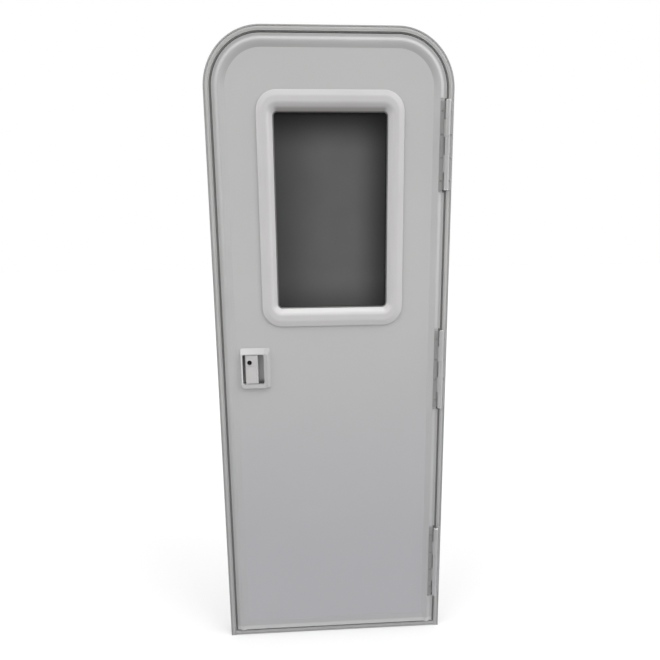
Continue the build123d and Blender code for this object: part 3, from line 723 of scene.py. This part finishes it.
# Thin ends of the paddle's face, which narrow the gaps to its housing
def paddle_ends():
    low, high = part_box("lock_paddle")
    barrel = 0.0034
    finger_edge = 0.0045
    finger_side = 0.0078
    proud = 0.0001
    thick = 0.0015
    lap = 0.0015
    reach = 0.0037
    bevel = 0.0004
    steps = 8

    def bend(middle_x, radius, first, offset):
        """Quarter turn of the face, at an offset outside it."""
        angles = [math.radians(first + 90 * i / steps) for i in range(steps + 1)]
        size = radius + offset
        return [(middle_x + size * math.cos(a), low.y + radius + size * math.sin(a)) for a in angles]

    def face(offset):
        points = bend(low.x + barrel, barrel, 180, offset)
        points += bend(high.x - finger_edge, finger_edge, 270, offset)
        return points + [(high.x + offset, low.y + finger_side)]

    def outline(inset):
        return face(proud - inset) + face(inset - thick)[::-1]

    for name, edge, way in (("lower", low.z, -1), ("upper", high.z, 1)):
        levels = [(edge - way * lap, 0.0), (edge + way * (reach - bevel), 0.0), (edge + way * reach, bevel)]
        mesh = bar(*[[(x, y, z) for x, y in outline(inset)] for z, inset in levels])
        add_piece(name + "_paddle_end", mesh, "paddle", "paddle_grey", math.radians(50))


lip_seal()
glass_lip()
hinge_tapes()
hinge_screws()
window_screws()
lock_screws()
key_collar()
paddle_ends()


# Stage

def stage_material(name, colour, glow):
    """Matt colour that the camera and reflections see lifted towards white, and white through glass."""
    material = bpy.data.materials.new(name)
    material.use_nodes = True
    nodes = material.node_tree.nodes
    links = material.node_tree.links
    shader = nodes["Principled BSDF"]
    shader.inputs["Base Color"].default_value = (*colour, 1.0)
    shader.inputs["Roughness"].default_value = 0.9
    shader.inputs["Specular IOR Level"].default_value = 0.0
    shader.inputs["Emission Color"].default_value = (1.0, 1.0, 1.0, 1.0)
    links.new(seen_directly(nodes, links, glow), shader.inputs["Emission Strength"])
    white = nodes.new("ShaderNodeEmission")
    white.inputs["Strength"].default_value = 1.0
    choice = nodes.new("ShaderNodeMixShader")
    links.new(nodes.new("ShaderNodeLightPath").outputs["Is Transmission Ray"], choice.inputs["Fac"])
    links.new(shader.outputs["BSDF"], choice.inputs[1])
    links.new(white.outputs["Emission"], choice.inputs[2])
    links.new(choice.outputs["Shader"], nodes["Material Output"].inputs["Surface"])
    return material


def seen_directly(nodes, links, strength):
    """A strength for rays from the camera, reflections and glass, and zero for the rest."""
    path = nodes.new("ShaderNodeLightPath")
    total = path.outputs["Is Camera Ray"]
    for name in ("Is Glossy Ray", "Is Transmission Ray"):
        highest = nodes.new("ShaderNodeMath")
        highest.operation = "MAXIMUM"
        links.new(total, highest.inputs[0])
        links.new(path.outputs[name], highest.inputs[1])
        total = highest.outputs[0]
    scaled = nodes.new("ShaderNodeMath")
    scaled.operation = "MULTIPLY"
    links.new(total, scaled.inputs[0])
    scaled.inputs[1].default_value = strength
    return scaled.outputs[0]


def floor():
    half = 30.0
    mesh = bpy.data.meshes.new("floor")
    outline = ((-half, -half), (half, -half), (half, half), (-half, half))
    corners = [(x, y, FLOOR_Z) for x, y in outline]
    mesh.from_pydata(corners, [], [(0, 1, 2, 3)])
    mesh.materials.append(stage_material("pale_floor", (0.5, 0.5, 0.5), 0.36))
    plane = bpy.data.objects.new("floor", mesh)
    bpy.context.scene.collection.objects.link(plane)


def world():
    """White to the eye, and a dimmer even light on the object, with more of it from behind."""
    ambient = 0.18
    behind = 0.85
    made = bpy.data.worlds.new("studio")
    made.use_nodes = True
    nodes = made.node_tree.nodes
    links = made.node_tree.links
    background = nodes["Background"]
    background.inputs["Color"].default_value = (1.0, 1.0, 1.0, 1.0)
    direction = nodes.new("ShaderNodeSeparateXYZ")
    links.new(nodes.new("ShaderNodeTexCoord").outputs["Generated"], direction.inputs[0])
    level = nodes.new("ShaderNodeMapRange")
    for name, number in (("From Min", 0.0), ("From Max", 0.7), ("To Min", ambient), ("To Max", behind)):
        level.inputs[name].default_value = number
    links.new(direction.outputs["Y"], level.inputs["Value"])
    highest = nodes.new("ShaderNodeMath")
    highest.operation = "MAXIMUM"
    links.new(seen_directly(nodes, links, 1.0), highest.inputs[0])
    links.new(level.outputs["Result"], highest.inputs[1])
    links.new(highest.outputs[0], background.inputs["Strength"])
    bpy.context.scene.world = made


def lamp(name, toward, strength):
    """Broad soft light from one direction."""
    light = bpy.data.lights.new(name, "SUN")
    light.energy = strength
    light.angle = math.radians(60)
    rig = bpy.data.objects.new(name, light)
    rig.rotation_euler = Vector(toward).to_track_quat("Z", "Y").to_euler()
    rig.location = Vector(toward) * 4
    bpy.context.scene.collection.objects.link(rig)


def camera():
    """Camera of the photograph, whose frame is square."""
    place = Vector((-0.0737, -1.3218, 1.1791))
    yaw = math.radians(2.86)
    pitch = math.radians(-9.69)
    roll = math.radians(-0.64)
    focal_px = 465.07
    frame_px = 660.0
    reach = math.cos(pitch)
    forward = Vector((math.sin(yaw) * reach, math.cos(yaw) * reach, math.sin(pitch)))
    level = Vector((math.cos(yaw), -math.sin(yaw), 0.0))
    above = level.cross(forward)
    right = level * math.cos(roll) + above * math.sin(roll)
    up = above * math.cos(roll) - level * math.sin(roll)
    data = bpy.data.cameras.new("camera")
    data.sensor_width = 36.0
    data.lens = data.sensor_width * focal_px / frame_px
    data.clip_start = 0.05
    data.clip_end = 100.0
    rig = bpy.data.objects.new("camera", data)
    turn = Matrix((right, up, -forward)).transposed()
    rig.matrix_world = Matrix.Translation(place) @ turn.to_4x4()
    bpy.context.scene.collection.objects.link(rig)
    bpy.context.scene.camera = rig


floor()
world()
lamp("right_light", (0.8, -0.3, 0.5), 2.42)
lamp("left_light", (-0.8, -0.3, 0.5), 1.76)
lamp("top_light", (0.0, -0.26, 0.97), 1.3)
camera()
bpy.context.scene.view_settings.view_transform = "Standard"
